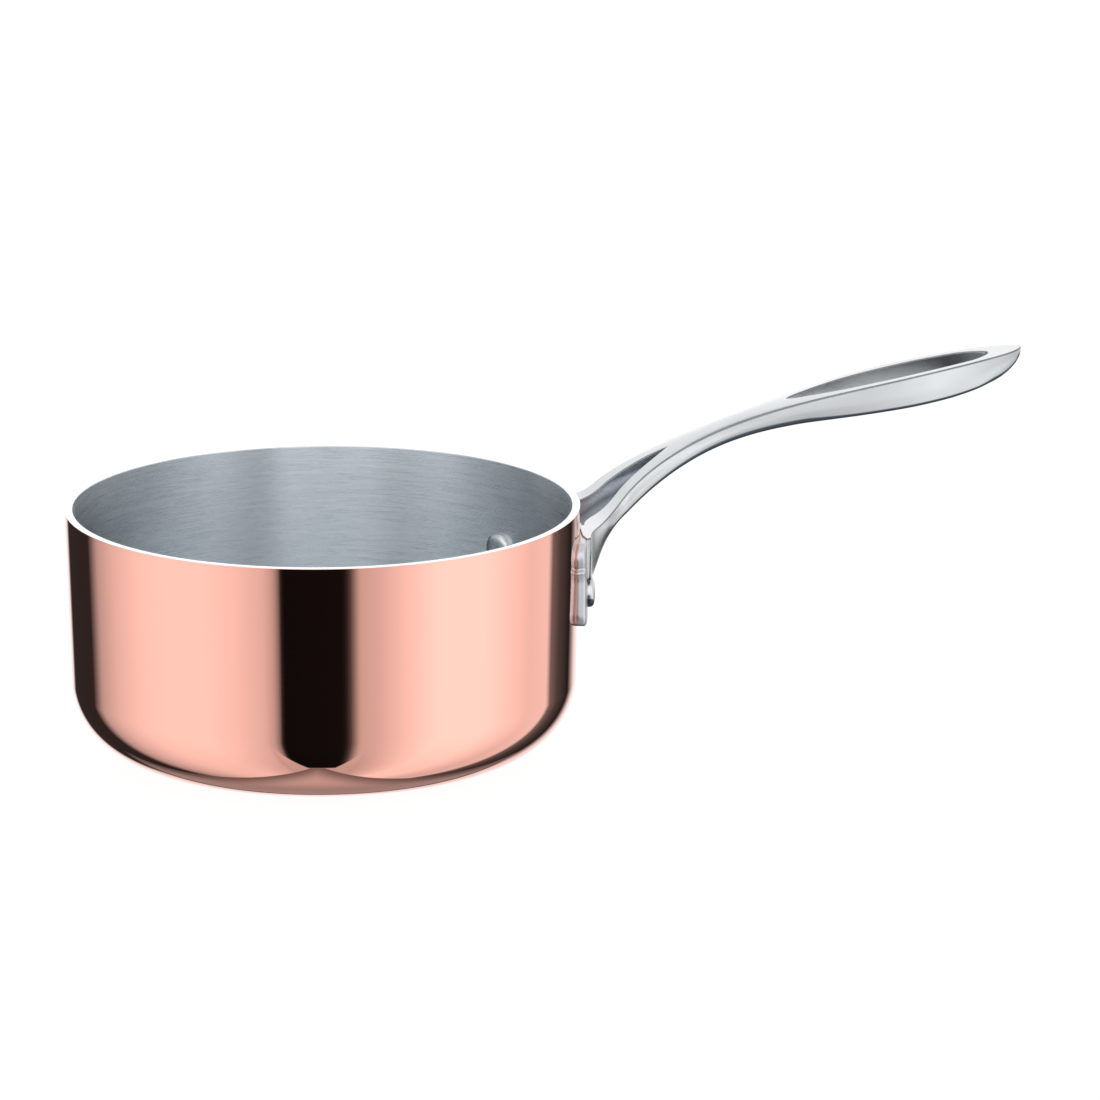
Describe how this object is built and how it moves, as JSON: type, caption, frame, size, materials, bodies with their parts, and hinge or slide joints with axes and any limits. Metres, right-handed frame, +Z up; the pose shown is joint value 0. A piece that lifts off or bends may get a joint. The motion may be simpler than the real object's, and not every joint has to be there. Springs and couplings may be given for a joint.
{
  "type": "saucepan",
  "caption": "Straight-sided copper saucepan with a bonded steel lining and a long forked steel handle riveted to the wall.",
  "frame": {"origin": "centre of the base's underside, on the axis of the pan", "axes": "+Z up along the pan's axis, +X out along the handle, and the XZ plane is the plane of symmetry"},
  "size_m": [0.3213, 0.16, 0.107],
  "materials": {
    "copper": "mirror-polished copper",
    "aluminium": "cut edge, satin",
    "lining_steel": "fine brushed round the pan",
    "handle_steel": "cast and polished, as cast inside the fork",
    "rivet_steel": "polished"
  },
  "bodies": {
    "root": {"copper_skin": "copper", "aluminium_core": "aluminium", "steel_liner": "lining_steel", "handle": "handle_steel", "rivet_left": "rivet_steel", "rivet_right": "rivet_steel"}
  },
  "joints": []
}
